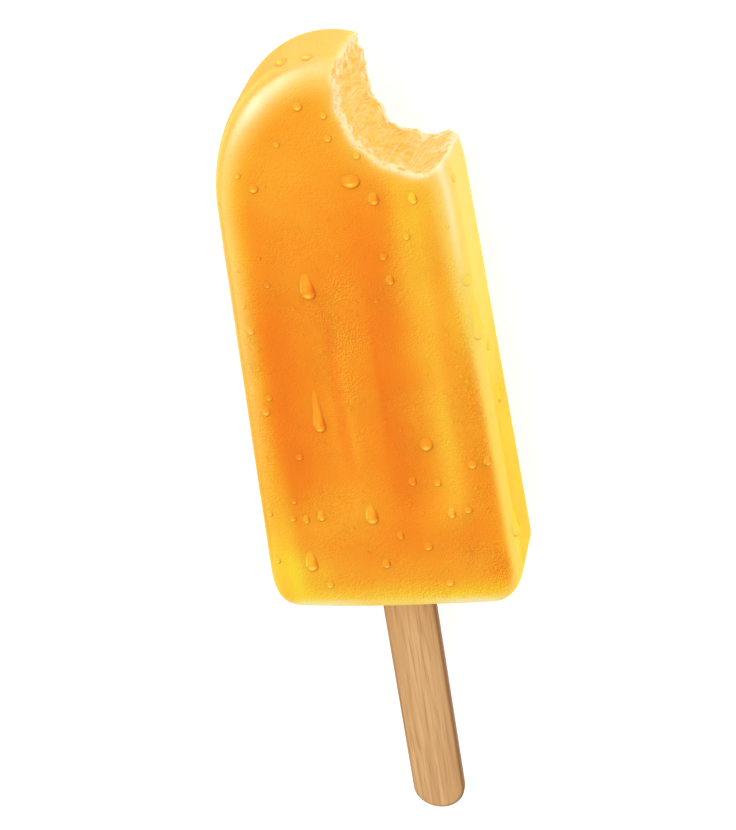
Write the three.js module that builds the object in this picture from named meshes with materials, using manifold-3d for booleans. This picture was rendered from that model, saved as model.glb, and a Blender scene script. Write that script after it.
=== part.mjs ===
// Ice lolly with one bite taken out: a fruit-ice body frozen round a flat wooden stick.
//
// Millimetres, +Z up. The lolly lies on its back with its tip towards +Y. Each piece is drawn
// in the mould's frame, where Y = 0 is the base of the ice, X = 0 the middle of its width and
// Z = 0 the middle of its thickness. The mould tapers, so the whole is then tilted a little to
// lay the back face level, and moved to put the origin under the middle of the lolly.

import * as THREE from 'three';
import { mergeVertices } from 'three/addons/utils/BufferGeometryUtils.js';
import Module from 'manifold-3d';

const wasm = await Module();
wasm.setup();

// Outline of the ice, seen from the front
const bodyLength = 106.6;
const baseHalfWidth = 23.9;
const sideDraft = 0.036;
const domeHeight = 26.9;
const cornerRadius = 6.1;
const baseCrown = 0.4;

// Thickness of the ice and the rounding of its long edges
const baseThickness = 20;
const faceDraft = 0.006;
const edgeRadius = 5;
const baseEdgeRadius = 1.3;
const edgeBlendLength = 6;

// Two hollow flutes along each face, cut as shallow arcs that fade out towards the tip
const fluteCentre = 9.25;
const fluteDepth = 1.4;
const fluteRadius = 15;
const fluteSoftness = 0.35;
const fluteStart = 15;
const fluteStartLength = 9;
const fluteFadeStart = 46;
const fluteFadeLength = 46;

// Bite at the tip: tooth marks set round an arc. A mark's reach deepens it, in millimetres, and
// its lean, in degrees, makes it deeper at the back of the lolly than at the front.
const biteCentre = new THREE.Vector2(18, 98.5);
const biteRadius = 13.8;
const biteCoreRadius = 10.6;
const toothRadius = 5.2;
const toothMarks = [
  { angle: 154, reach: 1.1, lean: -4 },
  { angle: 179, reach: 0.1, lean: -5 },
  { angle: 205, reach: 0.2, lean: -2 },
  { angle: 230, reach: 0.5, lean: 2 },
  { angle: 254, reach: 0.4, lean: 2 },
  { angle: 285, reach: -1.5, lean: 8 },
];
const cutterLength = 40;

// Flat stick, and the clearance round its buried end
const stickLength = 114;
const stickWidth = 10;
const stickThickness = 2;
const stickExposed = 53.8;
const stickEdge = 0.35;
const stickGap = 0.3;

// Fineness of the faceted surface
const baseSteps = 7;
const cornerSteps = 6;
const sideSteps = 17;
const domeSteps = 15;
const edgeSteps = 5;
const faceSteps = 9;
const spineLow = 10;
const spineHigh = 92;
const toothSides = 40;
const stickEndSteps = 12;

const orangeIce = new THREE.MeshStandardMaterial({ color: 0xf69428, roughness: 0.25, metalness: 0 });
const wood = new THREE.MeshStandardMaterial({ color: 0xcda06e, roughness: 0.7, metalness: 0 });

const halfWidthAt = (y) => baseHalfWidth - sideDraft * y;
const halfThicknessAt = (y) => baseThickness / 2 - faceDraft * y;
const arcPoint = (x, y, radius, angle) =>
  new THREE.Vector2(x + radius * Math.cos(angle), y + radius * Math.sin(angle));

// Right half of the outline from the middle of the base round to the apex of the dome.
function halfOutline() {
  const cornerX = halfWidthAt(cornerRadius) - cornerRadius;
  const domeBase = bodyLength - domeHeight;
  const points = [];
  for (let i = 0; i < baseSteps; i++) {
    const x = (cornerX * i) / baseSteps;
    points.push(new THREE.Vector2(x, -baseCrown * (1 - (x / cornerX) ** 2)));
  }
  for (let i = 0; i <= cornerSteps; i++) {
    const angle = (Math.PI / 2) * (i / cornerSteps - 1);
    points.push(arcPoint(cornerX, cornerRadius, cornerRadius, angle));
  }
  for (let i = 1; i <= sideSteps; i++) {
    const y = cornerRadius + ((domeBase - cornerRadius) * i) / sideSteps;
    points.push(new THREE.Vector2(halfWidthAt(y), y));
  }
  for (let i = 1; i <= domeSteps; i++) {
    const angle = ((Math.PI / 2) * i) / domeSteps;
    const y = domeBase + domeHeight * Math.sin(angle);
    points.push(new THREE.Vector2(halfWidthAt(y) * Math.cos(angle), y));
  }
  return points;
}

// Whole outline, anticlockwise from the middle of the base.
function bodyOutline() {
  const right = halfOutline();
  const left = right.slice(1, -1).reverse().map((p) => new THREE.Vector2(-p.x, p.y));
  return [...right, ...left];
}

// Outward unit normals of a closed outline.
function outlineNormals(outline) {
  return outline.map((_, i) => {
    const before = outline[(i + outline.length - 1) % outline.length];
    const after = outline[(i + 1) % outline.length];
    return new THREE.Vector2(after.y - before.y, before.x - after.x).normalize();
  });
}

// The value itself when it is well above zero, nothing below, and a smooth turn between.
function softPositive(value, softness) {
  if (value <= -softness) return 0;
  if (value >= softness) return value;
  return (value + softness) ** 2 / (4 * softness);
}

// How far the flutes cut into a face at a point of it.
function fluteCut(x, y) {
  const start = THREE.MathUtils.smoothstep(y, fluteStart, fluteStart + fluteStartLength);
  const fade = 1 - THREE.MathUtils.smoothstep(y, fluteFadeStart, fluteFadeStart + fluteFadeLength);
  const depth = (fluteDepth + fluteSoftness) * Math.min(start, fade) - fluteSoftness;
  const across = Math.abs(x) - fluteCentre;
  return softPositive(depth - across ** 2 / (2 * fluteRadius), fluteSoftness);
}

// Rings of the front half, from the edge of the mid-plane up the rounding and in to the spine.
function frontRings(outline) {
  const normals = outlineNormals(outline);
  const rings = [];
  for (let k = 0; k <= edgeSteps; k++) {
    const angle = ((Math.PI / 2) * k) / edgeSteps;
    rings.push(outline.map((p, i) => {
      const blend = THREE.MathUtils.smoothstep(p.y, 0, edgeBlendLength);
      const radius = THREE.MathUtils.lerp(baseEdgeRadius, edgeRadius, blend);
      const q = p.clone().addScaledVector(normals[i], -radius * (1 - Math.cos(angle)));
      const cut = fluteCut(q.x, q.y) * Math.sin(angle);
      return new THREE.Vector3(q.x, q.y, halfThicknessAt(q.y) - radius * (1 - Math.sin(angle)) - cut);
    }));
  }
  const rim = rings[edgeSteps];
  for (let k = 1; k <= faceSteps; k++) {
    const inward = (1 - Math.cos((Math.PI * k) / faceSteps)) / 2;
    rings.push(rim.map((p) => {
      const x = p.x * (1 - inward);
      const y = THREE.MathUtils.lerp(p.y, THREE.MathUtils.clamp(p.y, spineLow, spineHigh), inward);
      return new THREE.Vector3(x, y, halfThicknessAt(y) - fluteCut(x, y));
    }));
  }
  return rings;
}

// Joins stacked rings into one skin, dropping the triangles that close up on the spines.
function ringGeometry(rings) {
  const count = rings[0].length;
  const positions = rings.flat().flatMap((p) => [p.x, p.y, p.z]);
  const triangles = [];
  for (let k = 0; k + 1 < rings.length; k++) {
    for (let i = 0; i < count; i++) {
      const next = (i + 1) % count;
      const corner = [k * count + i, k * count + next, (k + 1) * count + next, (k + 1) * count + i];
      triangles.push([corner[0], corner[1], corner[2]], [corner[0], corner[2], corner[3]]);
    }
  }
  const geometry = new THREE.BufferGeometry();
  geometry.setAttribute('position', new THREE.Float32BufferAttribute(positions, 3));
  geometry.setIndex(triangles.flat());
  const merged = mergeVertices(geometry, 1e-4);
  const index = merged.getIndex().array;
  const kept = [];
  for (let i = 0; i < index.length; i += 3) {
    const [a, b, c] = index.slice(i, i + 3);
    if (a !== b && b !== c && c !== a) kept.push(a, b, c);
  }
  merged.setIndex(kept);
  return merged;
}

// The uncut ice body. The back is the front mirrored through the mid-plane.
function bodyGeometry() {
  const front = frontRings(bodyOutline());
  const back = front.map((ring) => ring.map((p) => new THREE.Vector3(p.x, p.y, -p.z)));
  return ringGeometry([...back.reverse(), ...front]);
}

// Round cutter through the thickness, at an angle and a distance from the bite's centre.
function toothGeometry(angle, distance, radius, lean) {
  const geometry = new THREE.CylinderGeometry(radius, radius, cutterLength, toothSides);
  geometry.rotateX(Math.PI / 2);
  geometry.rotateY(THREE.MathUtils.degToRad(-lean));
  geometry.translate(distance, 0, 0);
  geometry.rotateZ(THREE.MathUtils.degToRad(angle));
  geometry.translate(biteCentre.x, biteCentre.y, 0);
  return geometry;
}

// Flat bar with round ends. Grown by a gap, it is also the shape of the pocket round it.
function stickGeometry(gap, edge) {
  const halfWidth = stickWidth / 2 + gap - edge;
  const lowY = -stickExposed + stickWidth / 2;
  const highY = stickLength - stickExposed - stickWidth / 2;
  const shape = new THREE.Shape();
  shape.absarc(0, highY, halfWidth, 0, Math.PI, false);
  shape.absarc(0, lowY, halfWidth, Math.PI, 2 * Math.PI, false);
  const depth = stickThickness + 2 * gap - 2 * edge;
  const bevel = { bevelEnabled: edge > 0, bevelSize: edge, bevelThickness: edge, bevelSegments: 2 };
  const geometry = new THREE.ExtrudeGeometry(shape, { depth, curveSegments: stickEndSteps, ...bevel });
  geometry.translate(0, 0, -depth / 2);
  return geometry;
}

function toManifold(source) {
  const geometry = source.clone();
  geometry.deleteAttribute('normal');
  geometry.deleteAttribute('uv');
  const merged = mergeVertices(geometry, 1e-4);
  const vertProperties = new Float32Array(merged.getAttribute('position').array);
  const triVerts = new Uint32Array(merged.getIndex().array);
  return new wasm.Manifold(new wasm.Mesh({ numProp: 3, vertProperties, triVerts }));
}

function toGeometry(solid) {
  const mesh = solid.getMesh();
  const geometry = new THREE.BufferGeometry();
  geometry.setAttribute('position', new THREE.BufferAttribute(mesh.vertProperties, 3));
  geometry.setIndex(new THREE.BufferAttribute(mesh.triVerts, 1));
  geometry.computeVertexNormals();
  return geometry;
}

// What the teeth took: a round core and one cutter for each tooth mark.
function biteSolid() {
  let bite = toManifold(toothGeometry(0, 0, biteCoreRadius, 0));
  for (const { angle, reach, lean } of toothMarks) {
    const distance = biteRadius - toothRadius + reach;
    bite = bite.add(toManifold(toothGeometry(angle, distance, toothRadius, lean)));
  }
  return bite;
}

function named(name, geometry, material) {
  const mesh = new THREE.Mesh(geometry, material);
  mesh.name = name;
  return mesh;
}

const iceSolid = toManifold(bodyGeometry())
  .subtract(biteSolid())
  .subtract(toManifold(stickGeometry(stickGap, 0)));

const moulded = new THREE.Group();
moulded.add(named('ice', toGeometry(iceSolid), orangeIce));
moulded.add(named('stick', stickGeometry(0, stickEdge), wood));

// The back face rises towards the tip by its draft, so this tilt makes it level.
moulded.rotation.x = -Math.atan(faceDraft);
moulded.updateMatrixWorld(true);

// The back face is on Z = 0, and the origin is under the middle of the lolly's box.
const box = new THREE.Box3().setFromObject(moulded, true);
moulded.position.set(-(box.min.x + box.max.x) / 2, -(box.min.y + box.max.y) / 2, -box.min.z);

const lolly = new THREE.Group();
lolly.add(moulded);

export default lolly;
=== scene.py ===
"""Ice lolly: a bitten orange fruit ice on a flat wooden stick, lying on its back.

Shapes are worked out in millimetres in the mould's frame: X across the lolly, Y = 0 at the base
of the ice and rising to its tip, and Z = 0 in the middle of its thickness. They are then laid
on the CAD model's place. Ice and stick are meshes of smooth distance fields, so that the bite,
the flutes and the roundings are real surface.
"""

import itertools
import math

import bpy
import numpy as np
from mathutils import Matrix, Vector


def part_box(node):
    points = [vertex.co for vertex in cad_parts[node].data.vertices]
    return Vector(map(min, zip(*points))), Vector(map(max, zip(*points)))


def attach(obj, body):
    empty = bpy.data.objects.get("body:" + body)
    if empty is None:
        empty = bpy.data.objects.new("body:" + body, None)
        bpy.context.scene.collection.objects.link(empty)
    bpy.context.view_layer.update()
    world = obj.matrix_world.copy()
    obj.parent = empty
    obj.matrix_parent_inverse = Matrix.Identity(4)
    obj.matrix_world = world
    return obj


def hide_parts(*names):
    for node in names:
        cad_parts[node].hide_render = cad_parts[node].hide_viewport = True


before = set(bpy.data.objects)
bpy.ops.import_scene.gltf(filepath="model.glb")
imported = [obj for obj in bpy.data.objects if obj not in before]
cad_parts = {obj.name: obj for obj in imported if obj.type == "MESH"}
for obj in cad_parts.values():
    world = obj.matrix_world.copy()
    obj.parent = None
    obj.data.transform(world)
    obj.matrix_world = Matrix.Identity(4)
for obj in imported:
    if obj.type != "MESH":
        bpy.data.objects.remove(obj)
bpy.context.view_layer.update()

MM = 0.001

# Ice body, as in the CAD model
BODY_LENGTH = 106.6
BASE_HALF_WIDTH = 23.9
SIDE_DRAFT = 0.036
DOME_HEIGHT = 26.9
CORNER_RADIUS = 6.1
BASE_CROWN = 0.4
BASE_THICKNESS = 20.0
FACE_DRAFT = 0.006
EDGE_RADIUS = 5.0
BASE_EDGE_RADIUS = 1.3
EDGE_BLEND_LENGTH = 6.0

# Flutes
FLUTE_CENTRE = 9.25
FLUTE_DEPTH = 1.4
FLUTE_RADIUS = 15.0
FLUTE_SOFTNESS = 0.35
FLUTE_START = 15.0
FLUTE_START_LENGTH = 9.0
FLUTE_FADE_START = 46.0
FLUTE_FADE_LENGTH = 46.0

# Bite: (angle in degrees, reach in mm, lean in degrees) for each tooth mark
BITE_CENTRE = (18.0, 98.5)
BITE_RADIUS = 13.8
BITE_CORE_RADIUS = 10.6
TOOTH_RADIUS = 5.2
TOOTH_MARKS = [
    (154, 1.1, -4),
    (179, 0.1, -5),
    (205, 0.2, -2),
    (230, 0.5, 2),
    (254, 0.4, 2),
    (285, -1.5, 8),
]
TOOTH_BLEND = 0.7
BITE_RIM_BLEND = 0.25
RELIEF_REACH = 2.5

# Stick
STICK_LENGTH = 114.0
STICK_WIDTH = 10.0
STICK_THICKNESS = 2.0
STICK_EXPOSED = 53.8
STICK_EDGE = 0.45
STICK_GAP = 0.12
SLOT_EDGE = 0.3

# Drops placed one by one, in mm: x, y, z near the surface, half width, half length and height, and
# the length of the tail where there is one
PLACED_DROPS = [
    (-5.5, 105.4, 5.3, 1.3, 1.1, 0.35),
    (-1.0, 106.1, 5.9, 1.2, 0.9, 0.25),
    (3.9, 85.0, 9.5, 1.75, 1.35, 0.6),
    (-6.7, 64.5, 9.1, 1.5, 1.5, 0.65, 4.2),
    (-8.9, 37.6, 8.5, 1.2, 1.25, 0.6, 8.4),
    (9.6, 33.1, 8.5, 1.35, 1.4, 0.65),
    (-1.9, 19.0, 9.9, 1.25, 1.3, 0.5, 3.2),
    (-14.5, 9.3, 9.9, 1.2, 1.25, 0.4, 3.6),
    (21.4, 54.2, 6.6, 1.6, 1.5, 0.5, 7.0),
    (23.2, 13.6, 6.0, 1.7, 1.5, 0.5, 4.8),
    (20.9, 64.4, 7.1, 1.3, 1.0, 0.35),
    (22.5, 38.6, 1.2, 1.9, 1.3, 0.5, 2.6),
    (22.1, 49.6, 3.2, 1.2, 0.8, 0.3),
    (7.4, 81.3, 9.5, 0.95, 0.95, 0.45, 1.8),
    (-12.9, 84.8, 9.5, 0.95, 0.95, 0.4),
    (-15.2, 87.3, 9.4, 0.6, 0.6, 0.25),
    (-3.0, 99.0, 9.4, 0.9, 0.9, 0.25),
    (1.1, 97.1, 9.4, 0.7, 0.7, 0.25),
    (1.2, 93.0, 9.4, 0.75, 0.75, 0.25),
    (-7.6, 92.5, 9.4, 0.6, 0.6, 0.25),
    (5.6, 89.6, 9.5, 0.75, 0.75, 0.3),
    (14.0, 81.0, 9.5, 0.8, 0.85, 0.35, 1.6),
    (20.6, 82.8, 5.5, 0.7, 0.8, 0.25),
    (11.9, 74.3, 9.5, 0.7, 0.75, 0.3),
    (7.4, 70.7, 9.3, 0.8, 0.8, 0.35),
    (7.9, 65.8, 9.0, 0.75, 0.8, 0.35, 1.5),
    (-13.5, 66.5, 9.4, 0.6, 0.6, 0.25),
    (-17.8, 57.9, 9.5, 0.75, 0.8, 0.3),
    (-18.5, 62.7, 9.2, 0.6, 0.6, 0.25),
    (-13.5, 31.9, 9.0, 0.8, 0.8, 0.35),
    (-17.8, 41.8, 9.7, 0.85, 0.95, 0.35),
    (-16.8, 44.6, 9.7, 0.7, 0.7, 0.25),
    (17.6, 29.5, 9.8, 0.95, 0.95, 0.4),
    (20.3, 29.5, 9.1, 0.75, 0.85, 0.3, 1.5),
    (6.3, 25.6, 8.8, 0.75, 0.75, 0.35, 1.3),
    (10.6, 25.2, 8.5, 0.8, 0.8, 0.35),
    (15.7, 20.2, 9.8, 0.85, 0.85, 0.35),
    (12.7, 19.2, 9.7, 0.75, 0.8, 0.35, 1.5),
    (-15.7, 23.1, 9.8, 0.65, 0.65, 0.25),
    (-16.5, 19.5, 9.9, 0.75, 0.75, 0.3),
    (-14.0, 19.0, 9.8, 0.65, 0.7, 0.3, 1.3),
    (-11.2, 19.3, 9.5, 0.7, 0.75, 0.3, 1.6),
    (-20.8, 20.4, 9.1, 0.7, 0.8, 0.3),
    (7.5, 12.7, 9.9, 0.95, 0.95, 0.35),
    (2.8, 15.0, 9.9, 0.65, 0.7, 0.25, 1.5),
    (-0.6, 9.1, 9.9, 0.8, 0.85, 0.3, 1.5),
    (-11.8, 5.1, 10.0, 0.85, 0.85, 0.3),
    (10.5, 4.9, 10.0, 0.9, 0.9, 0.3),
    (-20.9, 10.4, 9.3, 0.7, 0.8, 0.3),
]


# ---- Small maths

def smoothstep(value, low, high):
    t = np.clip((value - low) / (high - low), 0, 1)
    return t * t * (3 - 2 * t)


def fade(value, low, high):
    """1 below low, 0 above high, and a smooth fall between."""
    return 1 - smoothstep(value, low, high)


def hill(value, middle, width):
    """1 at the middle, falling smoothly to nothing about two widths from it."""
    return np.exp(-((value - middle) / width) ** 2)


def smooth_min(a, b, blend):
    mixed = np.clip(0.5 + 0.5 * (b - a) / blend, 0, 1)
    return b + (a - b) * mixed - blend * mixed * (1 - mixed)


def smooth_max(a, b, blend):
    return -smooth_min(-a, -b, blend)


def soft_positive(value, softness):
    """The value itself when it is well above zero, nothing below, and a smooth turn between."""
    turn = (value + softness) ** 2 / (4 * softness)
    return np.where(value <= -softness, 0, np.where(value >= softness, value, turn))


NOISE_CELLS = 64
LATTICES = {}


def noise(points, size, seed):
    """Smooth seeded noise from -1 to 1. The size of its lumps, in mm, may differ for each axis."""
    if seed not in LATTICES:
        LATTICES[seed] = np.random.default_rng(seed).uniform(-1, 1, (NOISE_CELLS,) * 3)
    scaled = points / size
    cell = np.floor(scaled).astype(int)
    part = scaled - cell
    part = part * part * (3 - 2 * part)
    total = np.zeros(len(points))
    for corner in itertools.product((0, 1), repeat=3):
        i, j, k = ((cell + corner) % NOISE_CELLS).T
        weight = np.where(corner, part, 1 - part).prod(axis=1)
        total += weight * LATTICES[seed][i, j, k]
    return total


# ---- The ice as a distance field

def half_width_at(y):
    return BASE_HALF_WIDTH - SIDE_DRAFT * y


def half_thickness_at(y):
    return BASE_THICKNESS / 2 - FACE_DRAFT * y


def outline():
    """The outline of the ice seen from the front, as one closed loop of points."""
    corner_x = half_width_at(CORNER_RADIUS) - CORNER_RADIUS
    dome_base = BODY_LENGTH - DOME_HEIGHT
    base_x = np.linspace(0, corner_x, 40, endpoint=False)
    base = np.column_stack([base_x, -BASE_CROWN * (1 - (base_x / corner_x) ** 2)])
    turn = np.linspace(-math.pi / 2, 0, 40, endpoint=False)
    corner = np.column_stack([corner_x + CORNER_RADIUS * np.cos(turn), CORNER_RADIUS * (1 + np.sin(turn))])
    side_y = np.linspace(CORNER_RADIUS, dome_base, 60, endpoint=False)
    side = np.column_stack([half_width_at(side_y), side_y])
    rise = np.linspace(0, math.pi / 2, 160)
    dome_y = dome_base + DOME_HEIGHT * np.sin(rise)
    dome = np.column_stack([half_width_at(dome_y) * np.cos(rise), dome_y])
    right = np.vstack([base, corner, side, dome])
    left = right[1:-1][::-1] * (-1, 1)
    return np.vstack([right, left])


GRID_STEP = 0.25
GRID_LOW = np.array([-26.0, -3.0])
GRID_HIGH = np.array([26.0, 109.0])


def inset_grid():
    """How far each point of a flat grid is inside the outline of the ice. Outside it is negative."""
    start = outline()
    step = np.roll(start, -1, axis=0) - start
    length_squared = (step ** 2).sum(axis=1)
    xs = np.arange(GRID_LOW[0], GRID_HIGH[0] + GRID_STEP, GRID_STEP)
    ys = np.arange(GRID_LOW[1], GRID_HIGH[1] + GRID_STEP, GRID_STEP)
    inset = np.zeros((len(xs), len(ys)))
    for i, x in enumerate(xs):
        to_point = np.stack([np.full(len(ys), x), ys], axis=1)[:, None, :] - start
        along = np.clip((to_point * step).sum(axis=2) / length_squared, 0, 1)
        distance = np.linalg.norm(to_point - along[:, :, None] * step, axis=2).min(axis=1)
        y_to_start = ys[:, None] - start[:, 1]
        y_to_end = y_to_start - step[:, 1]
        crosses = (y_to_start >= 0) != (y_to_end >= 0)
        slope = np.divide(step[:, 0], step[:, 1], out=np.zeros(len(step)), where=step[:, 1] != 0)
        right_of_edge = x - start[:, 0] < slope * y_to_start
        inside = (crosses & right_of_edge).sum(axis=1) % 2 == 1
        inset[i] = np.where(inside, distance, -distance)
    return inset


INSET = inset_grid()


def inset_at(points):
    """How far points are inside the outline, read from the grid."""
    place = (points[:, :2] - GRID_LOW) / GRID_STEP
    place = np.clip(place, 0, np.array(INSET.shape) - 1.001)
    i, j = place.astype(int).T
    u, v = (place - np.floor(place)).T
    low = INSET[i, j] * (1 - v) + INSET[i, j + 1] * v
    high = INSET[i + 1, j] * (1 - v) + INSET[i + 1, j + 1] * v
    return low * (1 - u) + high * u


def flute_cut(x, y):
    start = smoothstep(y, FLUTE_START, FLUTE_START + FLUTE_START_LENGTH)
    end = fade(y, FLUTE_FADE_START, FLUTE_FADE_START + FLUTE_FADE_LENGTH)
    depth = (FLUTE_DEPTH + FLUTE_SOFTNESS) * np.minimum(start, end) - FLUTE_SOFTNESS
    across = np.abs(x) - FLUTE_CENTRE
    return soft_positive(depth - across ** 2 / (2 * FLUTE_RADIUS), FLUTE_SOFTNESS)


def rounded(past_side, past_face, radius):
    """Distance to a shape with round edges, from how far points are past its side and its face."""
    outside = np.hypot(np.maximum(past_side, 0), np.maximum(past_face, 0))
    return outside + np.minimum(np.maximum(past_side, past_face), 0) - radius


def body_field(p):
    """Distance to the unbitten ice body, negative inside."""
    x, y, z = p.T
    radius = BASE_EDGE_RADIUS + (EDGE_RADIUS - BASE_EDGE_RADIUS) * smoothstep(y, 0, EDGE_BLEND_LENGTH)
    past_side = radius - inset_at(p)
    past_face = np.abs(z) - (half_thickness_at(y) - flute_cut(x, y) - radius)
    dents = 0.06 * (1 + noise(p, 9.0, 11)) + 0.02 * (1 + noise(p, 2.6, 12))
    return rounded(past_side, past_face, radius) + dents


def bite_cut(p):
    """Distance to what the teeth took, negative inside."""
    x, y, z = p.T
    across = x - BITE_CENTRE[0]
    up = y - BITE_CENTRE[1]
    cut = np.hypot(across, up) - BITE_CORE_RADIUS
    for angle, reach, lean in TOOTH_MARKS:
        turn = math.radians(angle)
        slope = math.tan(math.radians(lean))
        out = across * math.cos(turn) + up * math.sin(turn)
        side = up * math.cos(turn) - across * math.sin(turn)
        centre = BITE_RADIUS - TOOTH_RADIUS + reach - z * slope
        cut = smooth_min(cut, np.hypot(out - centre, side) - TOOTH_RADIUS, TOOTH_BLEND)
    return cut


def around_bite(p):
    """How far round the bite's arc points are, in mm."""
    angle = np.arctan2(p[:, 1] - BITE_CENTRE[1], p[:, 0] - BITE_CENTRE[0]) % (2 * math.pi)
    return angle * BITE_RADIUS


def bite_grain(p):
    """Fracture lines of the bitten ice, from -1 to 1, which run through its thickness."""
    x, y, z = p.T
    around = around_bite(p)
    depth = np.hypot(x - BITE_CENTRE[0], y - BITE_CENTRE[1])
    coarse = np.stack([around + 0.35 * z, z, depth], axis=1)
    fine = np.stack([around + 0.2 * z, z, depth], axis=1)
    ridges = 1 - 2.4 * np.abs(noise(coarse, np.array([2.6, 9.0, 4.0]), 21))
    threads = 1 - 2.4 * np.abs(noise(fine, np.array([1.3, 6.0, 3.0]), 22))
    return 0.6 * ridges + 0.4 * threads


def near_face(p):
    """1 close to the front and back faces of the ice, 0 deeper inside."""
    to_face = half_thickness_at(p[:, 1]) - np.abs(p[:, 2])
    return fade(to_face, 0.3, 2.0)


def bite_relief(p):
    """How far the bitten surface stands proud of the smooth tooth marks."""
    lumps = 0.35 * noise(p, 3.4, 23)
    crumbs = 0.4 * near_face(p) * noise(p, 1.2, 24)
    return lumps + 0.3 * bite_grain(p) + crumbs


def bite_field(p):
    """Distance to the bitten-out space with its rough surface, negative inside the space."""
    smooth = bite_cut(p)
    rough = smooth.copy()
    near = np.abs(smooth) < RELIEF_REACH
    rough[near] += bite_relief(p[near])
    return rough


def stick_field(p, gap=0.0, edge=STICK_EDGE):
    """Distance to the flat stick with round ends, negative inside."""
    x, y, z = p.T
    radius = STICK_WIDTH / 2
    low = -STICK_EXPOSED + radius
    high = STICK_LENGTH - STICK_EXPOSED - radius
    past_side = np.hypot(x, y - np.clip(y, low, high)) - radius - gap + edge
    past_face = np.abs(z) - STICK_THICKNESS / 2 - gap + edge
    return rounded(past_side, past_face, edge)


def ice_field(p):
    """Distance to the finished ice: the body without the bite and the stick's slot."""
    bitten = smooth_max(body_field(p), -bite_field(p), BITE_RIM_BLEND)
    return np.maximum(bitten, -stick_field(p, STICK_GAP, SLOT_EDGE))


# ---- From a field to a mesh

def gradient(field, p, step=0.02):
    slopes = []
    for axis in np.eye(3):
        slopes.append((field(p + axis * step) - field(p - axis * step)) / (2 * step))
    return np.stack(slopes, axis=1)


def normals_at(field, p):
    slope = gradient(field, p)
    return slope / np.linalg.norm(slope, axis=1, keepdims=True)


def onto_surface(field, p, rounds=3, furthest=0.4):
    """Moves points onto the surface where the field is zero, by small steps along its slope."""
    for _ in range(rounds):
        slope = gradient(field, p)
        steepness = np.maximum((slope ** 2).sum(axis=1), 0.25)
        move = np.clip(field(p) / steepness, -furthest, furthest)
        p = p - slope * move[:, None]
    return p


def graded(*bands):
    """Grid lines along one axis, from bands of (start, spacing) and a last (end,)."""
    lines = []
    for (start, spacing), following in zip(bands, bands[1:]):
        count = max(1, round((following[0] - start) / spacing))
        lines.append(np.linspace(start, following[0], count, endpoint=False))
    return np.concatenate(lines + [[bands[-1][0]]])


CORNERS = list(itertools.product((0, 1), repeat=3))
CELL_EDGES = [(a, b) for a, b in itertools.combinations(range(8), 2)
              if sum(abs(s - t) for s, t in zip(CORNERS[a], CORNERS[b])) == 1]


def surface_net(field, xs, ys, zs):
    """Points and four-sided faces of the surface where the field changes sign on a grid."""
    lines = (xs, ys, zs)
    shape = tuple(map(len, lines))
    nodes = np.stack(np.meshgrid(*lines, indexing="ij"), axis=-1).reshape(-1, 3)
    values = field(nodes).reshape(shape)
    inside = values < 0

    def corner_view(grid, corner):
        return grid[tuple(slice(c, c + n - 1) for c, n in zip(corner, shape))]

    held = sum(corner_view(inside, corner).astype(int) for corner in CORNERS)
    cells = np.argwhere((held > 0) & (held < 8))
    number = np.full(tuple(n - 1 for n in shape), -1)
    number[tuple(cells.T)] = np.arange(len(cells))

    corner_value = []
    corner_place = []
    for corner in CORNERS:
        i, j, k = (cells + corner).T
        corner_value.append(values[i, j, k])
        corner_place.append(np.stack([xs[i], ys[j], zs[k]], axis=1))
    total = np.zeros((len(cells), 3))
    count = np.zeros(len(cells))
    for a, b in CELL_EDGES:
        crossed = (corner_value[a] < 0) != (corner_value[b] < 0)
        span = np.where(crossed, corner_value[a] - corner_value[b], 1)
        share = np.where(crossed, corner_value[a] / span, 0)[:, None]
        place = corner_place[a] + share * (corner_place[b] - corner_place[a])
        total += place * crossed[:, None]
        count += crossed
    points = total / count[:, None]

    faces = []
    for axis in range(3):
        first, second = (axis + 1) % 3, (axis + 2) % 3
        ahead = np.eye(3, dtype=int)
        before = tuple(slice(None, -1) if a == axis else slice(None) for a in range(3))
        after = tuple(slice(1, None) if a == axis else slice(None) for a in range(3))
        enters = inside[before] & ~inside[after]
        leaves = ~inside[before] & inside[after]
        for crossing, turned in ((enters, False), (leaves, True)):
            edge = np.argwhere(crossing)
            inner = (edge[:, first] > 0) & (edge[:, second] > 0)
            edge = edge[inner & (edge[:, first] < shape[first] - 1) & (edge[:, second] < shape[second] - 1)]
            around = [edge - ahead[first] - ahead[second], edge - ahead[second], edge, edge - ahead[first]]
            quad = np.stack([number[tuple(cell.T)] for cell in around], axis=1)
            faces.append(quad[:, ::-1] if turned else quad)
    return points, np.vstack(faces)


# ---- From the mould's frame to the CAD frame

TILT = -math.atan(FACE_DRAFT)
TURN = np.array(Matrix.Rotation(TILT, 3, "X"))


def moulding_offset():
    """Where the mould's origin lies in the CAD frame, in mm, worked out from the stick's box."""
    low = np.array(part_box("stick")[0]) / MM
    bottom_end = -STICK_EXPOSED
    top_end = STICK_LENGTH - STICK_EXPOSED
    half = STICK_THICKNESS / 2
    lowest_y = bottom_end * math.cos(TILT) + half * math.sin(TILT)
    lowest_z = top_end * math.sin(TILT) - half * math.cos(TILT)
    return np.array([0.0, low[1] - lowest_y, low[2] - lowest_z])


OFFSET = moulding_offset()


def placed(points):
    """Points of the mould's frame, in mm, moved to the CAD frame, in metres."""
    return (points @ TURN.T + OFFSET) * MM


def new_object(name, data):
    """An object with this data, put into the scene."""
    thing = bpy.data.objects.new(name, data)
    bpy.context.scene.collection.objects.link(thing)
    return thing


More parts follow.
